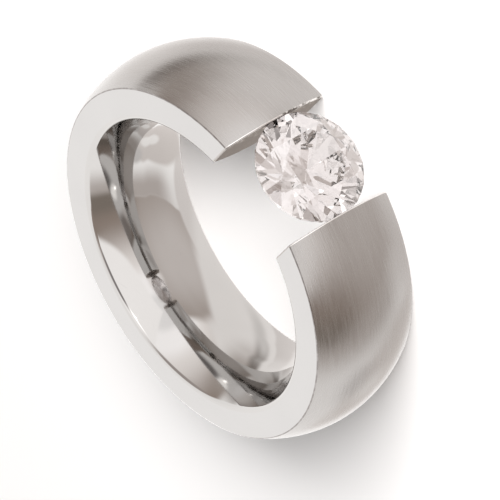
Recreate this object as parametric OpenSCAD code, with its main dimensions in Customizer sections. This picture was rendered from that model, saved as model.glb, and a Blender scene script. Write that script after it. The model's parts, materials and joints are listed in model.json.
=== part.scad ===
// Tension-set finger ring, lying on one of its two flat sides.
// Z is the axis of the finger hole, Z = 0 is the side it rests on, and the stone points along +Y.

/* [Band] */
// Finger hole's diameter at its narrowest, halfway across the band
finger_d = 17.7; // [15:0.1:22]
// Width of the band, from side to side
band_w = 7.8; // [7.5:0.1:9]
// Width of the flat polished face on each side, measured outwards
side_face_w = 1.8; // [1.5:0.05:2.3]
// Rise of the domed outside from its edges to its crest
dome_rise = 1.05; // [0.6:0.05:1.4]
// Straight stretch in the middle of the finger hole
bore_l = 0.4; // [0.4:0.1:1]
// Radius of the hole's convex middle, across the band
fit_r = 6; // [5.5:0.1:7]
// Slope at which the convex middle runs into the flatter flanks, in degrees
fit_slope = 18; // [14:0.5:20]
// Radius of the flanks, across the band
flank_r = 10; // [9:0.5:16]
// Rounding between each side and the finger hole
inner_round = 0.4; // [0.3:0.05:0.6]
// Bevel along the outer edge of each side
edge_bevel = 0.1; // [0.05:0.01:0.2]

/* [Stone] */
// Diameter of the round brilliant
stone_d = 7.05; // [6:0.05:7.2]
// How far the stone's girdle reaches into each end of the band
grip = 0.095; // [0.07:0.005:0.15]
// Height of the stone's lowest point above the finger hole
culet_rise = 0.23; // [0.05:0.01:0.4]
// Thickness of the girdle where the facets reach it
girdle_h = 0.22; // [0.18:0.01:0.26]
// Width of the table, as a share of the stone's diameter
table_share = 0.56; // [0.5:0.01:0.62]
// Slope of the eight main facets of the crown, in degrees
crown_angle = 34; // [30:0.5:36]
// Slope of the eight main facets of the pavilion, in degrees
pavilion_angle = 39; // [37:0.5:41]
// How far the lower halves reach from the girdle towards the culet, as a share
lower_half_share = 0.77; // [0.6:0.01:0.85]
// Width of the small flat at the culet
culet_d = 0.12; // [0.08:0.01:0.3]
// Turn of the facets around the stone's own axis, in degrees
stone_turn = 22.5; // [-22.5:0.5:22.5]

/* [Hidden] */
round_fn = 160;
overrun = 5;
stone_clearance = 0.03;

steel_colour = [0.72, 0.71, 0.69];
stone_colour = [0.93, 0.9, 0.91, 0.55];

mid_z = band_w / 2;
finger_r = finger_d / 2;

// Across the band, the finger hole has three smoothly joined arcs on each side of its middle
fit_end_h = bore_l / 2 + fit_r * sin(fit_slope);
flank_centre_r = finger_r + fit_r + (flank_r - fit_r) * cos(fit_slope);
flank_centre_h = fit_end_h - flank_r * sin(fit_slope);
round_centre_h = mid_z - inner_round;
side_slope = asin((round_centre_h - flank_centre_h) / (flank_r - inner_round));
flank_end_h = flank_centre_h + flank_r * sin(side_slope);
side_inner_r = flank_centre_r - (flank_r - inner_round) * cos(side_slope);
side_outer_r = side_inner_r + side_face_w;
crest_r = side_outer_r + dome_rise;

// Radius of the dome's arc, from its rise over the band's width
dome_r = (mid_z * mid_z + dome_rise * dome_rise) / (2 * dome_rise);

// The brilliant has eight mains, each between two halves at the girdle
main_count = 8;
main_step = 360 / main_count;
half_step = main_step / 2;
quarter_step = main_step / 4;
girdle_count = 4 * main_count;
stone_r = stone_d / 2;
girdle_half = girdle_h / 2;
chord_r = stone_r * cos(quarter_step);
table_r = table_share * stone_r;
table_flat_r = table_r * cos(half_step);
crown_h = (stone_r - table_r) * tan(crown_angle);

// Each star ends halfway between the table's edge and the girdle, where it meets two mains
star_r = (table_flat_r + stone_r) / 2;
star_h = (stone_r - star_r * cos(half_step)) * tan(crown_angle);
upper_half_slope = star_h / (stone_r - star_r) / cos(quarter_step);

// Each pair of lower halves ends on the line where two mains of the pavilion meet
lower_tip_r = (1 - lower_half_share) * stone_r;
lower_tip_h = (stone_r - lower_tip_r * cos(half_step)) * tan(pavilion_angle);
lower_half_slope = lower_tip_h / (stone_r - lower_tip_r) / cos(quarter_step);
culet_r = culet_d / 2;
culet_h = (stone_r - culet_r * cos(half_step)) * tan(pavilion_angle);

// The halves cut a little deeper into the girdle between the points where they end
upper_scallop = (stone_r - chord_r) * upper_half_slope;
lower_scallop = (stone_r - chord_r) * lower_half_slope;

// The stone stands just clear of the finger, and its girdle sits in a groove in each end
girdle_y = finger_r + culet_rise + culet_h + girdle_half;
gap_w = stone_d - 2 * grip;
groove_h = girdle_h + 2 * (grip * upper_half_slope + stone_clearance);

// Radius of the domed outside at a height above the resting side
function dome_at(z) = crest_r - dome_r + sqrt(dome_r * dome_r - (z - mid_z) * (z - mid_z));

module outer_outline() {
    translate([crest_r - dome_r, mid_z])
        circle(r = dome_r, $fn = round_fn);
}

// One arc of the convex inside, kept between two depths below its middle
module inner_arc(centre_r, centre_h, r, from_h, to_h) {
    intersection() {
        translate([centre_r, mid_z - centre_h])
            circle(r = r, $fn = round_fn);
        translate([finger_r, mid_z - to_h])
            square([crest_r, to_h - from_h]);
    }
}

module inner_half_outline() {
    inner_arc(finger_r + fit_r, bore_l / 2, fit_r, bore_l / 2, fit_end_h);
    inner_arc(flank_centre_r, flank_centre_h, flank_r, fit_end_h, flank_end_h);
    translate([side_inner_r, inner_round])
        circle(r = inner_round, $fn = round_fn);
    translate([side_inner_r, 0])
        square([crest_r, mid_z]);
}

module inner_outline() {
    inner_half_outline();
    translate([0, band_w])
        mirror([0, 1])
            inner_half_outline();
    translate([finger_r, mid_z - bore_l / 2])
        square([crest_r, bore_l]);
}

module edge_bevel_outline() {
    polygon([
        [side_outer_r - edge_bevel, -overrun],
        [side_outer_r - edge_bevel, 0],
        [dome_at(edge_bevel), edge_bevel],
        [crest_r + overrun, edge_bevel],
        [crest_r + overrun, -overrun]
    ]);
}

module band_outline() {
    difference() {
        intersection() {
            translate([finger_r, 0])
                square([crest_r, band_w]);
            outer_outline();
            inner_outline();
        }
        edge_bevel_outline();
        translate([0, band_w])
            mirror([0, 1])
                edge_bevel_outline();
    }
}

// Stands a shape made along the stone's own axis in the gap, table outwards
module at_stone() {
    translate([0, girdle_y, mid_z])
        rotate([-90, 0, 0])
            children();
}

module band() {
    color(steel_colour)
        difference() {
            rotate_extrude($fn = round_fn)
                band_outline();
            translate([-gap_w / 2, 0, -overrun])
                cube([gap_w, crest_r + overrun, band_w + 2 * overrun]);
            at_stone()
                cylinder(r = stone_r + stone_clearance, h = groove_h, center = true, $fn = round_fn);
        }
}

function ring_of(count, r, first_turn, h) =
    [for (i = [0:count - 1])
        let (turn = first_turn + i * 360 / count)
            [r * cos(turn), r * sin(turn), h]];

function girdle_ring(h, scallop) =
    [for (i = [0:girdle_count - 1])
        let (turn = i * quarter_step)
            [stone_r * cos(turn), stone_r * sin(turn), h + (i % 2) * scallop]];

stone_points = concat(
    ring_of(main_count, table_r, 0, girdle_half + crown_h),
    ring_of(main_count, star_r, half_step, girdle_half + star_h),
    girdle_ring(girdle_half, -upper_scallop),
    girdle_ring(-girdle_half, lower_scallop),
    ring_of(main_count, lower_tip_r, half_step, -girdle_half - lower_tip_h),
    ring_of(main_count, culet_r, half_step, -girdle_half - culet_h)
);

// Places of the corners in the list above, counted around the stone
function table_corner(i) = i % main_count;
function star_tip(i) = main_count + i % main_count;
function upper_girdle(i) = 2 * main_count + i % girdle_count;
function lower_girdle(i) = 2 * main_count + girdle_count + i % girdle_count;
function lower_tip(i) = 2 * (main_count + girdle_count) + i % main_count;
function culet_corner(i) = lower_tip(main_count - 1) + 1 + i % main_count;

function crown_faces(i) =
    let (g = 4 * i) [
        [table_corner(i), table_corner(i + 1), star_tip(i)],
        [table_corner(i + 1), star_tip(i + 1), upper_girdle(g + 4), star_tip(i)],
        [star_tip(i), upper_girdle(g + 2), upper_girdle(g + 1), upper_girdle(g)],
        [star_tip(i), upper_girdle(g + 4), upper_girdle(g + 3), upper_girdle(g + 2)]
    ];

function pavilion_faces(i) =
    let (g = 4 * i) [
        [lower_girdle(g), lower_girdle(g + 1), lower_girdle(g + 2), lower_tip(i)],
        [lower_girdle(g + 2), lower_girdle(g + 3), lower_girdle(g + 4), lower_tip(i)],
        [lower_girdle(g + 4), lower_tip(i + 1), culet_corner(i + 1), culet_corner(i), lower_tip(i)]
    ];

stone_faces = concat(
    [[for (i = [main_count - 1:-1:0]) table_corner(i)]],
    [for (i = [0:main_count - 1]) each crown_faces(i)],
    [for (i = [0:girdle_count - 1])
        [upper_girdle(i), upper_girdle(i + 1), lower_girdle(i + 1), lower_girdle(i)]],
    [for (i = [0:main_count - 1]) each pavilion_faces(i)],
    [[for (i = [0:main_count - 1]) culet_corner(i)]]
);

module stone() {
    color(stone_colour)
        at_stone()
            rotate([0, 0, stone_turn])
                polyhedron(points = stone_points, faces = stone_faces);
}

band();
stone();
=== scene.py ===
# A broad domed ring of stainless steel, lying on its side, with a clear round brilliant between its ends
import json
import math

import bpy
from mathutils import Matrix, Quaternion, Vector
from mathutils.geometry import tessellate_polygon

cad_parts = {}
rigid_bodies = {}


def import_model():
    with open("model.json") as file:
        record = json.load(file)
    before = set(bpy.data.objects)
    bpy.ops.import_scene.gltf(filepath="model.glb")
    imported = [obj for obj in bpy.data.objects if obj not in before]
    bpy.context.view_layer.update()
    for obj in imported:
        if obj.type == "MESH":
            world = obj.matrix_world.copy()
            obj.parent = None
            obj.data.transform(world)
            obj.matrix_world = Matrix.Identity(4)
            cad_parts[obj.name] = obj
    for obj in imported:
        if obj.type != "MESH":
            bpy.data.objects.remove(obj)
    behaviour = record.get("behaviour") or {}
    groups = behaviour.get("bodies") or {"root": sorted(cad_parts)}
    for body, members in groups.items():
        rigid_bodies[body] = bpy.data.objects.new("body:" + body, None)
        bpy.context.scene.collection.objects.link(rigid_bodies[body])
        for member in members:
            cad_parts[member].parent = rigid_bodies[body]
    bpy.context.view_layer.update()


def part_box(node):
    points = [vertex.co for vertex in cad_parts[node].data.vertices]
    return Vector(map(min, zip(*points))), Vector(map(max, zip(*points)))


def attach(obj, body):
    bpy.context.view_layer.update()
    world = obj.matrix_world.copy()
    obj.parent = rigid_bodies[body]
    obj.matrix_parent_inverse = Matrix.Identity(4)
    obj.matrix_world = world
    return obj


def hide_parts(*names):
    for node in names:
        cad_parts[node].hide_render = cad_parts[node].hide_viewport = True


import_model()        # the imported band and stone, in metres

bandLow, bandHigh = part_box("band")
stoneLow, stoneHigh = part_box("stone")
middleZ = (bandLow.z + bandHigh.z) / 2
scene = bpy.context.scene


def facing(azimuth, elevation):
    # The direction at an azimuth, from +Y towards +X, and an elevation, both in degrees
    azimuth, elevation = math.radians(azimuth), math.radians(elevation)
    return Vector((math.sin(azimuth) * math.cos(elevation),
                   math.cos(azimuth) * math.cos(elevation),
                   math.sin(elevation)))


# The camera, at the photograph's angle to the ring, in degrees and metres
cameraView = {
    "azimuth": 7.49,
    "elevation": 30.16,
    "roll": -119.28,        # degrees, so that the ring stands in the picture as it does in the photograph
    "distance": 0.22427,
    "lens": 258.16,         # millimetres, and so is the sensor
    "sensor": 36,
    "clip": (0.01, 20),
    "aim": Vector((0.00104, 0.00009, 0.00351)),
}


def makeCamera(view):
    back = facing(view["azimuth"], view["elevation"])
    data = bpy.data.cameras.new("photoCamera")
    data.lens = view["lens"]
    data.sensor_width = view["sensor"]
    data.clip_start, data.clip_end = view["clip"]
    camera = bpy.data.objects.new("photoCamera", data)
    camera.location = view["aim"] + back * view["distance"]
    camera.rotation_mode = "QUATERNION"
    roll = Quaternion((0, 0, 1), math.radians(view["roll"]))
    camera.rotation_quaternion = back.to_track_quat("Z", "Y") @ roll
    scene.collection.objects.link(camera)
    scene.camera = camera


makeCamera(cameraView)
print("camera placed")


# The band's shape and each of its finishes, in metres unless a note says otherwise
bandValues = {
    "shape": {
        "fingerRadius": 0.00885,    # halfway across the band
        "boreLength": 0.0004,       # straight stretch in the middle of the finger hole
        "fitRadius": 0.006,         # rounding of the hole's middle
        "fitSlope": 18,             # degrees, where the hole's middle runs into its flanks
        "flankRadius": 0.010,
        "innerRound": 0.0004,       # rounding between each side and the hole
        "domeRise": 0.00105,        # from the dome's edges to its crest
        "edgeRound": 0.0001,        # rounding between each side and the dome
        "endRound": 0.0001,         # rounding around each end face
        "grip": 0.000095,           # how far the girdle reaches into each end
        "crownHeight": 0.001046,    # from the girdle to the table
        "girdleHeight": 0.00022,
        "grooveHeight": 0.000442,
        "grooveClearance": 0.00003,
        "steps": {"bore": 2, "fit": 18, "flank": 12, "innerRound": 12, "side": 3, "edge": 4, "dome": 28},
        "endSteps": 3,              # of the rounding around each end face
        "grooveSteps": 12,
        "sectionsAround": 480,
        "grainRadius": 0.012,       # radius on which the brushing's length is counted around the band
        "endGrain": 0.001,
    },
    "dome": {
        "dark": (0.396, 0.383, 0.372),
        "bright": (0.436, 0.424, 0.415),
        "roughness": (0.2, 0.3),
        "toneReach": (0.36, 0.64),
        "stretch": 0.55,            # how much more the brushing blurs across the band than around it
        "stretchTurn": 0.25,        # of a full turn
        "streakWidth": 0.000065,
        "streakLength": 0.0014,
        "broadLength": 0.3,         # the broad streaks' frequency, as shares of the fine ones'
        "broadWidth": 0.25,
        "fineShare": 0.65,
        "broadShare": 0.35,
        "depth": 0.000009,
    },
    "polish": {
        "side": {
            "tone": (0.512, 0.507, 0.503),
            "worn": (0.48, 0.476, 0.472),
            "roughness": (0.07, 0.13),
            "scratchDepth": 0.0000003,
        },
        "inside": {
            "tone": (0.508, 0.5, 0.492),
            "worn": (0.47, 0.462, 0.455),
            "roughness": (0.04, 0.08),
            "scratchDepth": 0.0000001,
        },
        "cloudShade": 0.35,         # share of the worn tone in the slow clouds of the polish
        "scratchWidth": 0.00006,
        "scratchLength": 0.0011,
        "scratchReach": (0.66, 0.76),
        "scratchRoughness": 0.06,
        "waviness": 0.004,          # length of the slow waves that polishing leaves
        "waveHeight": 0.000004,
    },
    "edge": {
        # tone is a painted highlight, shade is painted shade
        "tone": (0.76, 0.75, 0.74),
        "shade": (0.258, 0.242, 0.235),
        "roughness": (0.08, 0.16),
        "paintedShadeY": (-0.009, -0.005),  # where the painted highlight at the ring's back gives way to the painted shade
        "nicksPerMetre": 2600,
        "nickReach": (0.4, 0.7),
        "nickShade": (-0.15, 0.25),
        "nickDepth": 0.000004,
    },
    "bevel": {
        # tone is a painted highlight along the dome
        "tone": (0.86, 0.85, 0.84),
        "side": (0.42, 0.40, 0.38),     # painted shade where it runs along the side faces
        "sparkleShade": (0.2, 0.185, 0.17),     # painted dark flecks between the stone's painted glints
        "roughness": (0.08, 0.2),
        "grainSize": 0.0003,
        "sparkleReach": (0.44, 0.56),
        "farShare": 0.15,               # of the painted sparkle, on the other end
        "depth": 0.00002,
        "glintTop": 0.0043,             # the stone's light dances on the edge below this height
        "fade": 0.0007,
    },
    "satin": {
        "dark": (0.21, 0.19, 0.17),
        "bright": (0.42, 0.39, 0.365),
        # glint is a painted highlight of the stone's light
        "glint": (0.95, 0.93, 0.9),
        "slant": (0.46, 0.43, 0.41),    # how much of its brightness the face keeps when seen at a slant
        "roughness": (0.28, 0.44),
        "grainSize": 0.00014,
        "grainStretch": 0.55,
        "depth": 0.000012,
        "glintReach": 0.0017,           # how far from the stone its light dances on the ends
        "glintCore": 0.4,
        "glintHeight": 0.35,            # how much a distance across the band counts towards that reach
        "spotsPerMetre": 3600,
        "spotReach": (0.56, 0.64),
    },
}

# The table is the stone's highest point, so its girdle lies a crown below it
girdleY = (stoneHigh.y - bandValues["shape"]["crownHeight"]
           - bandValues["shape"]["girdleHeight"] / 2)


def arcRun(zone, centreR, centreZ, radius, start, stop, steps):
    # Points of an arc in the band's section, each as radius, height and the outward direction there
    run = []
    for step in range(steps + 1):
        turn = start + (stop - start) * step / steps
        nr, nz = math.cos(turn), math.sin(turn)
        run.append((zone, centreR + radius * nr, centreZ + radius * nz, nr, nz))
    return run


def lineRun(zone, r0, z0, r1, z1, nr, nz, steps):
    return [(zone, r0 + (r1 - r0) * k / steps, z0 + (z1 - z0) * k / steps, nr, nz) for k in range(steps + 1)]


def bandSection(shape):
    # One closed loop around the band's section, counted from the middle of the finger hole up and outwards
    halfWidth = (bandHigh.z - bandLow.z) / 2
    crest = bandHigh.x
    rise, fingerR, innerRound = shape["domeRise"], shape["fingerRadius"], shape["innerRound"]
    domeR = (halfWidth ** 2 + rise ** 2) / (2 * rise)
    domeCentre = crest - domeR
    halfBore = shape["boreLength"] / 2
    fitR, fitSlope, flankR = shape["fitRadius"], math.radians(shape["fitSlope"]), shape["flankRadius"]
    flankCentreR = fingerR + fitR + (flankR - fitR) * math.cos(fitSlope)
    flankCentreZ = halfBore - (flankR - fitR) * math.sin(fitSlope)
    roundZ = halfWidth - innerRound
    sideSlope = math.asin((roundZ - flankCentreZ) / (flankR - innerRound))
    sideR = flankCentreR - (flankR - innerRound) * math.cos(sideSlope)
    edge = shape["edgeRound"]
    edgeZ = halfWidth - edge
    edgeR = domeCentre + math.sqrt((domeR - edge) ** 2 - edgeZ ** 2)
    domeTurn = math.atan2(edgeZ, edgeR - domeCentre)
    quarter, half = math.pi / 2, math.pi
    steps = shape["steps"]
    upper = [
        lineRun("inside", fingerR, 0, fingerR, halfBore, -1, 0, steps["bore"]),
        arcRun("inside", fingerR + fitR, halfBore, fitR, half, half - fitSlope, steps["fit"]),
        arcRun("inside", flankCentreR, flankCentreZ, flankR, half - fitSlope, half - sideSlope,
               steps["flank"]),
        arcRun("inside", sideR, roundZ, innerRound, half - sideSlope, quarter, steps["innerRound"]),
        lineRun("side", sideR, halfWidth, edgeR, halfWidth, 0, 1, steps["side"]),
        arcRun("edge", edgeR, edgeZ, edge, quarter, domeTurn, steps["edge"]),
        arcRun("dome", domeCentre, 0, domeR, domeTurn, 0, steps["dome"]),
    ]
    lower = [[(zone, r, -z, nr, -nz) for zone, r, z, nr, nz in reversed(run)] for run in reversed(upper)]
    points, zones = [], []
    for run in upper + lower:
        points += [point[1:] for point in run[:-1]]
        zones += [point[0] for point in run[:-1]]
    return points, zones


class MeshBuilder:
    # Collects corners and faces, with the exact surface direction and the grain's coordinates at each corner

    def __init__(self):
        self.points, self.faces, self.materials, self.normals, self.grain = [], [], [], [], []

    def add(self, point):
        self.points.append(point)
        return len(self.points) - 1

    def face(self, corners, material, normals, grain):
        self.faces.append(corners)
        self.materials.append(material)
        self.normals += normals
        self.grain += grain

    def flatFace(self, corners, material, normals):
        # Winds a face the way that its first direction points, and takes its grain from where it lies
        corners, normals = list(corners), list(normals)
        a, b, c = (Vector(self.points[corner]) for corner in corners[:3])
        if (b - a).cross(c - a).dot(Vector(normals[0])) < 0:
            corners.reverse()
            normals.reverse()
        self.face(corners, material, normals, [self.points[corner][1:] for corner in corners])

    def build(self, name, materials):
        mesh = bpy.data.meshes.new(name)
        mesh.from_pydata(self.points, [], self.faces)
        for material in materials:
            mesh.materials.append(material)
        mesh.polygons.foreach_set("material_index", self.materials)
        mesh.polygons.foreach_set("use_smooth", [True] * len(self.faces))
        layer = mesh.uv_layers.new(name="grain")
        layer.data.foreach_set("uv", [value for pair in self.grain for value in pair])
        mesh.normals_split_custom_set(self.normals)
        mesh.validate()
        piece = bpy.data.objects.new(name, mesh)
        scene.collection.objects.link(piece)
        return piece


def makeBandMesh(shape, materials):
    points, zones = bandSection(shape)
    names = list(materials)
    count, sections, endSteps = len(points), shape["sectionsAround"], shape["endSteps"]
    halfGap = (stoneHigh.x - stoneLow.x) / 2 - shape["grip"]
    endRound = shape["endRound"]
    startX = halfGap + endRound
    across = [0.0]
    for (r0, z0, _, _), (r1, z1, _, _) in zip(points, points[1:] + points[:1]):
        across.append(across[-1] + math.hypot(r1 - r0, z1 - z0))
    builder = MeshBuilder()
    rows = []

    def addRow(places):
        # places holds a point, its direction and its grain coordinate for every corner of the section
        rows.append([(builder.add(point), normal, grain) for point, normal, grain in places])

    def sweptRow(share):
        places = []
        for r, z, nr, nz in points:
            first = math.asin(startX / r)
            turn = first + (2 * math.pi - 2 * first) * share
            point = (r * math.sin(turn), r * math.cos(turn), z + middleZ)
            direction = (nr * math.sin(turn), nr * math.cos(turn), nz)
            places.append((point, direction, turn * shape["grainRadius"]))
        return places

    def endRow(side, step):
        # The rounding around an end face, from the swept wall to the flat end
        roll = math.pi / 2 * step / endSteps
        places = []
        for r, z, nr, nz in points:
            y = math.sqrt(r * r - startX * startX)
            my, mz = nr * y / r, nz
            length = math.hypot(my, mz)
            my, mz = my / length, mz / length
            inset = endRound * (1 - math.cos(roll))
            point = (side * (startX - endRound * math.sin(roll)), y - my * inset, z - mz * inset + middleZ)
            direction = (-side * math.sin(roll), my * math.cos(roll), mz * math.cos(roll))
            places.append((point, direction, side * shape["endGrain"]))
        return places

    for step in range(endSteps, 0, -1):
        addRow(endRow(1, step))
    for i in range(sections + 1):
        addRow(sweptRow(i / sections))
    for step in range(1, endSteps + 1):
        addRow(endRow(-1, step))

    for i in range(len(rows) - 1):
        ending = i < endSteps or i >= len(rows) - 1 - endSteps
        for j in range(count):
            k = (j + 1) % count
            zone = "bevel" if ending else zones[j]
            corners = [rows[i][j], rows[i + 1][j], rows[i + 1][k], rows[i][k]]
            heights = [across[j], across[j], across[j + 1], across[j + 1]]
            builder.face([c[0] for c in corners], names.index(zone), [c[1] for c in corners],
                         [(c[2], h) for c, h in zip(corners, heights)])

    for side, row in ((1, rows[0]), (-1, rows[-1])):
        addEnd(builder, side, row, halfGap, shape, names)
    return builder.build("band_finish", materials.values())


def addEnd(builder, side, row, halfGap, shape, names):
    # The flat end of the band with the groove that the stone's girdle sits in
    grooveR = (stoneHigh.x - stoneLow.x) / 2 + shape["grooveClearance"]
    lowY, highY = girdleY - shape["grooveHeight"] / 2, girdleY + shape["grooveHeight"] / 2
    halfReach = math.sqrt(grooveR ** 2 - halfGap ** 2)
    steps = shape["grooveSteps"]
    reach = [-halfReach + 2 * halfReach * k / steps for k in range(steps + 1)]
    outline = [corner[0] for corner in row]
    lowEdge = [builder.add((side * halfGap, lowY, middleZ + z)) for z in reach]
    highEdge = [builder.add((side * halfGap, highY, middleZ + z)) for z in reach]
    hole = lowEdge + highEdge[::-1]
    loops = [[Vector(builder.points[c][1:]).to_3d() for c in loop] for loop in (outline, hole)]
    corners = outline + hole
    for triangle in tessellate_polygon(loops):
        builder.flatFace([corners[index] for index in triangle], names.index("end"), [(-side, 0, 0)] * 3)

    def backEdge(edge, y):
        # The groove's inner edge, which meets its outer edge at both ends
        deep = [builder.add((side * math.sqrt(grooveR ** 2 - z * z), y, middleZ + z)) for z in reach[1:-1]]
        return [edge[0]] + deep + [edge[-1]]

    def addWall(wall, normals):
        # One face inside the groove, without the corner that is doubled where the groove ends
        kept = [index for index in range(4) if wall[index] != wall[index - 1]]
        builder.flatFace([wall[index] for index in kept], names.index("groove"),
                         [normals[index] for index in kept])

    lowBack, highBack = backEdge(lowEdge, lowY), backEdge(highEdge, highY)
    for k in range(steps):
        near, far = ((-side * math.sqrt(grooveR ** 2 - z ** 2) / grooveR, 0, -z / grooveR)
                     for z in reach[k:k + 2])
        addWall([lowBack[k], lowBack[k + 1], highBack[k + 1], highBack[k]], [near, far, far, near])
        addWall([lowEdge[k], lowEdge[k + 1], lowBack[k + 1], lowBack[k]], [(0, 1, 0)] * 4)
        addWall([highBack[k], highBack[k + 1], highEdge[k + 1], highEdge[k]], [(0, -1, 0)] * 4)


class Wires:
    # Short ways to add nodes to one material or world

    def __init__(self, tree):
        self.nodes, self.links = tree.nodes, tree.links

    def feed(self, socket, value):
        if isinstance(value, bpy.types.NodeSocket):
            self.links.new(value, socket)
        elif socket.type == "RGBA":
            socket.default_value = (*value, 1)
        else:
            socket.default_value = value

    def maths(self, operation, first, second=0.0):
        node = self.nodes.new("ShaderNodeMath")
        node.operation = operation
        self.feed(node.inputs[0], first)
        self.feed(node.inputs[1], second)
        return node.outputs[0]

    def ramp(self, value, start, stop, kind="LINEAR"):
        # Carries a value over from one range to another, each given as a pair of numbers
        node = self.nodes.new("ShaderNodeMapRange")
        node.interpolation_type = kind
        self.feed(node.inputs["Value"], value)
        for name, number in zip(("From Min", "From Max", "To Min", "To Max"), (*start, *stop)):
            self.feed(node.inputs[name], number)
        return node.outputs["Result"]

    def blend(self, share, first, second):
        node = self.nodes.new("ShaderNodeMix")
        node.data_type = "RGBA"
        self.feed(node.inputs[0], share)
        self.feed(node.inputs[6], first)
        self.feed(node.inputs[7], second)
        return node.outputs[2]

    def noise(self, place, scale=1, detail=2, stretch=(1, 1, 1)):
        mapping = self.nodes.new("ShaderNodeMapping")
        self.feed(mapping.inputs["Vector"], place)
        mapping.inputs["Scale"].default_value = stretch
        node = self.nodes.new("ShaderNodeTexNoise")
        self.links.new(mapping.outputs["Vector"], node.inputs["Vector"])
        node.inputs["Scale"].default_value = scale
        node.inputs["Detail"].default_value = detail
        return node.outputs["Fac"]

    def place(self, kind="Object"):
        return self.nodes.new("ShaderNodeTexCoord").outputs[kind]

    def split(self, vector):
        node = self.nodes.new("ShaderNodeSeparateXYZ")
        self.feed(node.inputs[0], vector)
        return node.outputs

    def vectorMaths(self, operation, first, second):
        node = self.nodes.new("ShaderNodeVectorMath")
        node.operation = operation
        self.feed(node.inputs[0], first)
        node.inputs[1].default_value = second
        return node.outputs["Value"]

    def bump(self, height, distance):
        node = self.nodes.new("ShaderNodeBump")
        node.inputs["Strength"].default_value = 1
        node.inputs["Distance"].default_value = distance
        self.links.new(height, node.inputs["Height"])
        return node.outputs["Normal"]


# Most of a noise's values lie within the first range, and nearly all of them within the second
usualNoise = (0.35, 0.65)
wideNoise = (0.3, 0.7)


def newMaterial(name):
    material = bpy.data.materials.new(name)
    material.use_nodes = True
    return material, material.node_tree.nodes["Principled BSDF"], Wires(material.node_tree)


def dressMetal(shader, wires, tone, roughness, normal):
    wires.feed(shader.inputs["Base Color"], tone)
    wires.feed(shader.inputs["Roughness"], roughness)
    wires.feed(shader.inputs["Normal"], normal)
    shader.inputs["Metallic"].default_value = 1


def makeBrushedSteel(values):
    material, shader, wires = newMaterial("brushed_steel")
    grain = wires.place("UV")
    along, across = 1 / values["streakLength"], 1 / values["streakWidth"]
    fine = wires.noise(grain, detail=3, stretch=(along, across, 1))
    broad = wires.noise(grain, stretch=(values["broadLength"] * along, values["broadWidth"] * across, 1))
    streak = wires.maths("ADD", wires.maths("MULTIPLY", fine, values["fineShare"]),
                         wires.maths("MULTIPLY", broad, values["broadShare"]))
    tone = wires.blend(wires.ramp(streak, values["toneReach"], (0, 1)), values["dark"], values["bright"])
    roughness = wires.ramp(streak, usualNoise, values["roughness"])
    dressMetal(shader, wires, tone, roughness, wires.bump(streak, values["depth"]))
    shader.inputs["Anisotropic"].default_value = values["stretch"]
    shader.inputs["Anisotropic Rotation"].default_value = values["stretchTurn"]
    tangent = wires.nodes.new("ShaderNodeTangent")
    tangent.direction_type = "RADIAL"
    tangent.axis = "Z"
    wires.feed(shader.inputs["Tangent"], tangent.outputs["Tangent"])
    return material


def makePolishedSteel(name, values, finish):
    material, shader, wires = newMaterial(name)
    place = wires.place()
    cloud = wires.noise(place, 1 / values["waviness"])
    along, across = 1 / values["scratchLength"], 1 / values["scratchWidth"]
    marks = wires.noise(place, detail=3, stretch=(along, across, along))
    crossed = wires.noise(place, detail=3, stretch=(across, along, across))
    hairs = wires.maths("MAXIMUM", wires.ramp(marks, values["scratchReach"], (0, 1)),
                        wires.ramp(crossed, values["scratchReach"], (0, 1)))
    shade = wires.maths("MAXIMUM", hairs, wires.ramp(cloud, usualNoise, (0, values["cloudShade"])))
    roughness = wires.maths("ADD", wires.ramp(cloud, wideNoise, finish["roughness"]),
                            wires.maths("MULTIPLY", hairs, values["scratchRoughness"]))
    height = wires.maths("ADD", wires.maths("MULTIPLY", cloud, values["waveHeight"]),
                         wires.maths("MULTIPLY", hairs, -finish["scratchDepth"]))
    tone = wires.blend(shade, finish["tone"], finish["worn"])
    dressMetal(shader, wires, tone, roughness, wires.bump(height, 1))
    return material


def makeEdgeSteel(values):
    # The fine edge between a side and the dome carries a painted highlight at the ring's back and painted
    # shade beside the stone
    material, shader, wires = newMaterial("polished_edge_painted_light")
    place = wires.place()
    nicks = wires.noise(place, values["nicksPerMetre"], detail=3)
    # painted shade towards the stone, darkened further at random nicks
    share = wires.maths("ADD", wires.ramp(wires.split(place)["Y"], values["paintedShadeY"], (0, 1)),
                        wires.ramp(nicks, values["nickReach"], values["nickShade"]))
    share = wires.maths("MINIMUM", wires.maths("MAXIMUM", share, 0), 1)
    tone = wires.blend(share, values["tone"], values["shade"])
    roughness = wires.ramp(nicks, wideNoise, values["roughness"])
    dressMetal(shader, wires, tone, roughness, wires.bump(nicks, values["nickDepth"]))
    return material


def makeBevelSteel(values):
    # The fine bevel around each end carries a painted highlight along the dome, and painted glints with dark
    # flecks beside the stone
    material, shader, wires = newMaterial("bevel_painted_highlight")
    place = wires.place()
    where = wires.split(place)
    fade = values["fade"]
    grit = wires.noise(place, 1 / values["grainSize"])
    low = wires.ramp(where["Z"], (values["glintTop"] - fade, values["glintTop"]), (1, 0))
    beside = wires.maths("MULTIPLY", low, wires.ramp(where["X"], (-fade, fade), (1, values["farShare"])))
    sparkleMask = wires.maths("MULTIPLY", beside, wires.ramp(grit, values["sparkleReach"], (0, 1)))
    # painted shade where the bevel runs along the side faces
    side = wires.ramp(where["Z"], (bandHigh.z - fade / 2, bandHigh.z), (0, 1))
    tone = wires.blend(sparkleMask, wires.blend(side, values["tone"], values["side"]), values["sparkleShade"])
    roughness = wires.ramp(grit, wideNoise, values["roughness"])
    dressMetal(shader, wires, tone, roughness,
               wires.bump(wires.maths("MULTIPLY", sparkleMask, grit), values["depth"]))
    return material


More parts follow.
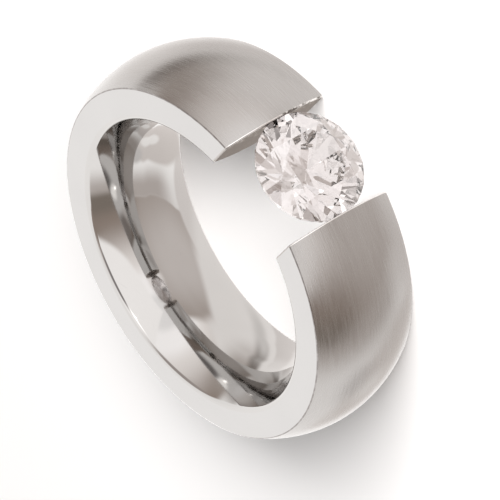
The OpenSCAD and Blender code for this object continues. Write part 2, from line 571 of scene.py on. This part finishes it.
def makeSatinSteel(name, values):
    material, shader, wires = newMaterial(name)
    place = wires.place()
    grit = wires.noise(place, 1 / values["grainSize"], detail=3, stretch=(1, values["grainStretch"], 1))
    flat = wires.nodes.new("ShaderNodeMapping")
    wires.feed(flat.inputs["Vector"], place)
    flat.inputs["Scale"].default_value = (0, 1, values["glintHeight"])
    away = wires.vectorMaths("DISTANCE", flat.outputs["Vector"],
                             (0, girdleY, middleZ * values["glintHeight"]))
    near = wires.ramp(away, (values["glintCore"] * values["glintReach"], values["glintReach"]), (1, 0))
    spots = wires.noise(place, values["spotsPerMetre"])
    # painted glints of the stone's light near the girdle
    glints = wires.maths("MULTIPLY", near, wires.ramp(spots, values["spotReach"], (0, 1)))
    tone = wires.blend(wires.ramp(grit, usualNoise, (0, 1)), values["dark"], values["bright"])
    roughness = wires.ramp(grit, wideNoise, values["roughness"])
    dressMetal(shader, wires, wires.blend(glints, tone, values["glint"]), roughness,
               wires.bump(grit, values["depth"]))
    wires.feed(shader.inputs["Specular Tint"], values["slant"])
    return material


polish = bandValues["polish"]
steel = {
    "dome": makeBrushedSteel(bandValues["dome"]),
    "edge": makeEdgeSteel(bandValues["edge"]),
    "bevel": makeBevelSteel(bandValues["bevel"]),
    "side": makePolishedSteel("polished_side", polish, polish["side"]),
    "inside": makePolishedSteel("mirror_inside", polish, polish["inside"]),
    "end": makeSatinSteel("satin_end_painted_glints", bandValues["satin"]),
    "groove": makeSatinSteel("cut_groove_painted_glints", bandValues["satin"]),
}
band = makeBandMesh(bandValues["shape"], steel)
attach(band, "root")
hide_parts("band")
print("band made")


# The stone's clear material
stoneValues = {
    "tint": (0.83, 0.792, 0.79),
    "index": 2.17,
    "roughness": (0.0, 0.012),
    "smearsPerMetre": 900,
    "smearReach": (0.4, 0.75),
}


def makeGem(values):
    material, shader, wires = newMaterial("clear_gem")
    smear = wires.noise(wires.place(), values["smearsPerMetre"])
    wires.feed(shader.inputs["Base Color"], values["tint"])
    shader.inputs["Transmission Weight"].default_value = 1
    shader.inputs["IOR"].default_value = values["index"]
    wires.feed(shader.inputs["Roughness"], wires.ramp(smear, values["smearReach"], values["roughness"]))
    return material


def dressStone(material):
    for item in bpy.data.objects:
        if item.type == "MESH" and item.name.split(".")[0] == "stone":
            item.data.materials.clear()
            item.data.materials.append(material)
            item.visible_shadow = False     # clear, so it hardly darkens the floor


dressStone(makeGem(stoneValues))
print("stone dressed")


# The floor, the key light over it, and how often light may bounce
lighting = {
    "floorHalf": 2.0,
    "floorDrop": 0.00001,
    "floorTone": (0.92, 0.9, 0.89),
    "floorRoughness": 0.8,
    "roomLight": (0.16, 0.16, 0.16),    # what falls on the floor from all around
    "keyFrom": Vector((-0.16, 0.91, 0.568)),
    "keyWidth": 0.96,
    "keyHeight": 0.54,
    "keyPower": 27.2,
    "bounces": 16,
    "mirrorBounces": 12,
}


def hideFromMirrors(item):
    # The metal and the stone mirror only the studio, which is turned the way the ring stands in the picture
    item.visible_glossy = False
    item.visible_transmission = False


def makeFloor(values):
    half = values["floorHalf"]
    mesh = bpy.data.meshes.new("floor")
    mesh.from_pydata([(-half, -half, 0), (half, -half, 0), (half, half, 0), (-half, half, 0)],
                     [], [(0, 1, 2, 3)])
    floor = bpy.data.objects.new("floor", mesh)
    floor.location.z = -values["floorDrop"]
    scene.collection.objects.link(floor)
    material, shader, wires = newMaterial("pale_floor")
    wires.feed(shader.inputs["Base Color"], values["floorTone"])
    shader.inputs["Roughness"].default_value = values["floorRoughness"]
    mesh.materials.append(material)
    hideFromMirrors(floor)


def makeKeyLight(values):
    data = bpy.data.lights.new("key", "AREA")
    data.shape = "RECTANGLE"
    data.size, data.size_y = values["keyWidth"], values["keyHeight"]
    data.energy = values["keyPower"]
    key = bpy.data.objects.new("key", data)
    key.location = values["keyFrom"]
    key.rotation_mode = "QUATERNION"
    key.rotation_quaternion = values["keyFrom"].to_track_quat("Z", "Y")
    hideFromMirrors(key)
    scene.collection.objects.link(key)


makeFloor(lighting)
makeKeyLight(lighting)
print("floor and key light placed")


# The studio stands around the stone: its table is below the ring's back, its ceiling where the stone points.
# above: from and to, in degrees over the table's far edge.
# around: from and to, in degrees from where the ring's upper side faces, and growing towards +X.
# disc: its middle, around and above, and half its size each way.
# soft: the degrees that each of those edges fades over, or for a disc a share of its size.
# A later layer covers the ones before it.
studio = {
    "upAzimuth": -13,
    "upElevation": 8,
    "throughStone": 0.7,        # how much of its light reaches the eye through the stone
    "table": (1.46, 1.43, 1.41),
    "layers": [
        {"name": "wallLow", "above": (-5, 200), "soft": (1.5, 1), "light": (0.46, 0.375, 0.325)},
        {"name": "wallFade", "above": (31, 200), "soft": (22, 1), "light": (1.35, 1.28, 1.24)},
        {"name": "ceiling", "above": (56, 200), "soft": (8, 1), "light": (1.65, 1.61, 1.6)},
        {"name": "top", "above": (76, 200), "soft": (4, 1), "light": (1.35, 1.32, 1.31)},
        {"name": "backRight", "around": (105, 214), "above": (-5, 78), "soft": (8, 8, 1, 7),
         "light": (0.63, 0.55, 0.5)},
        {"name": "backGlow", "disc": (152, 34, 42, 35), "soft": 0.7, "light": (0.93, 0.86, 0.82)},
        {"name": "backCorner", "disc": (116, 66, 22, 11), "soft": 0.35, "light": (1.35, 1.28, 1.25)},
        {"name": "backMiddle", "disc": (178, -18, 27, 28), "soft": 0.05, "light": (1.12, 1.06, 1.03)},
        {"name": "backLeft", "disc": (217, -4, 52, 47), "soft": 0.1, "light": (1.28, 1.23, 1.2)},
        {"name": "sideLeft", "around": (240, 276), "above": (-7, 24), "soft": (18, 6, 3, 12),
         "light": (0.6, 0.53, 0.485)},
        {"name": "horizonLeft", "around": (228, 276), "above": (-9, 2), "soft": (18, 6, 4, 5),
         "light": (0.3, 0.26, 0.235)},
        {"name": "horizonBack", "around": (204, 240), "above": (-9, -1), "soft": (10, 12, 3, 4),
         "light": (1.0, 0.96, 0.93)},
        {"name": "frontRight", "disc": (20, 62, 63, 62), "soft": 0.04, "light": (1.58, 1.54, 1.52)},
        {"name": "frontLeft", "disc": (317, 27, 27, 17), "soft": 0.4, "light": (0.56, 0.5, 0.47)},
        {"name": "lampFront", "disc": (7, 59, 21, 7), "soft": 0.4, "light": (2.7, 2.65, 2.6)},
        {"name": "lampCore", "disc": (14, 66, 6, 3), "soft": 0.3, "light": (6, 5.9, 5.8)},
        {"name": "cameraFront", "disc": (30, 35, 20, 22), "soft": 0.35, "light": (0.4, 0.37, 0.36)},
        {"name": "frontLow", "around": (20, 70), "above": (-5, 18), "soft": (20, 10, 1, 3),
         "light": (0.46, 0.375, 0.325)},
        {"name": "shadeRight", "disc": (140, -54, 31, 23), "soft": 0.1, "light": (1.02, 0.95, 0.91)},
        {"name": "glintRight", "disc": (134, -56, 10, 6), "soft": 0.3, "light": (1.32, 1.28, 1.25)},
        {"name": "tableRight", "around": (62, 142), "above": (-25, -5), "soft": (14, 14, 11, 1.5),
         "light": (0.77, 0.7, 0.66)},
        {"name": "horizonRight", "around": (60, 98), "above": (-11, 5), "soft": (8, 14, 4, 7),
         "light": (0.34, 0.29, 0.25)},
        {"name": "tableFront", "around": (274, 376), "above": (-14, 7), "soft": (6, 14, 6, 4),
         "light": (1.4, 1.37, 1.35)},
        {"name": "shadeCorner", "disc": (111, -46, 10, 10), "soft": 0.3, "light": (0.9, 0.86, 0.84)},
        {"name": "shadeLeft", "around": (205, 240), "above": (-34, -17), "soft": (6, 8, 3, 1.5),
         "light": (1.04, 0.98, 0.95)},
    ],
}


def makeStudio(values, roomLight):
    up = facing(values["upAzimuth"], values["upElevation"])
    ahead = (Vector((0, 0, 1)) - up * up.z).normalized()
    right = up.cross(ahead)
    world = bpy.data.worlds.new("studio")
    world.use_nodes = True
    wires = Wires(world.node_tree)
    direction = wires.place("Generated")

    def along(axis):
        return wires.vectorMaths("DOT_PRODUCT", direction, axis)

    def inDegrees(kind, *sides):
        return wires.maths("MULTIPLY", wires.maths(kind, *sides), 180 / math.pi)

    def degreesAround(middle):
        turn = math.radians(middle)
        centre = ahead * math.cos(turn) + right * math.sin(turn)
        across = right * math.cos(turn) - ahead * math.sin(turn)
        return inDegrees("ARCTAN2", along(across), along(centre))

    def rise(value, edge, softness):
        return wires.ramp(value, (edge - softness, edge + softness), (0, 1), "SMOOTHSTEP")

    def fall(value, edge, softness):
        return wires.maths("SUBTRACT", 1.0, rise(value, edge, softness))

    def window(value, low, high, softLow, softHigh):
        return wires.maths("MULTIPLY", rise(value, low, softLow), fall(value, high, softHigh))

    def squared(value, size):
        return wires.maths("POWER", wires.maths("DIVIDE", value, size), 2.0)

    above = inDegrees("ARCSINE", along(up))
    light = values["table"]
    for layer in values["layers"]:
        if "disc" in layer:
            middle, height, halfAround, halfAbove = layer["disc"]
            sideways = squared(degreesAround(middle), halfAround)
            upwards = squared(wires.maths("SUBTRACT", above, height), halfAbove)
            cover = fall(wires.maths("SQRT", wires.maths("ADD", sideways, upwards)), 1, layer["soft"])
        else:
            cover = window(above, *layer["above"], *layer["soft"][-2:])
        if "around" in layer:
            start, stop = layer["around"]
            half = (stop - start) / 2
            sideways = window(degreesAround((start + stop) / 2), -half, half, *layer["soft"][:2])
            cover = wires.maths("MULTIPLY", cover, sideways)
        light = wires.blend(cover, light, layer["light"])

    # Mirror and glass rays see the studio, and everything else only an even light
    path = wires.nodes.new("ShaderNodeLightPath")
    throughStone = path.outputs["Is Transmission Ray"]
    mirrored = wires.maths("MAXIMUM", path.outputs["Is Glossy Ray"], throughStone)
    background = wires.nodes["Background"]
    wires.feed(background.inputs["Color"], wires.blend(mirrored, roomLight, light))
    lost = wires.maths("MULTIPLY", throughStone, 1 - values["throughStone"])
    wires.feed(background.inputs["Strength"], wires.maths("SUBTRACT", 1.0, lost))
    scene.world = world


makeStudio(studio, lighting["roomLight"])
scene.view_settings.view_transform = "Standard"
scene.cycles.max_bounces = lighting["bounces"]
scene.cycles.transmission_bounces = lighting["bounces"]
scene.cycles.glossy_bounces = lighting["mirrorBounces"]
print("studio lit")
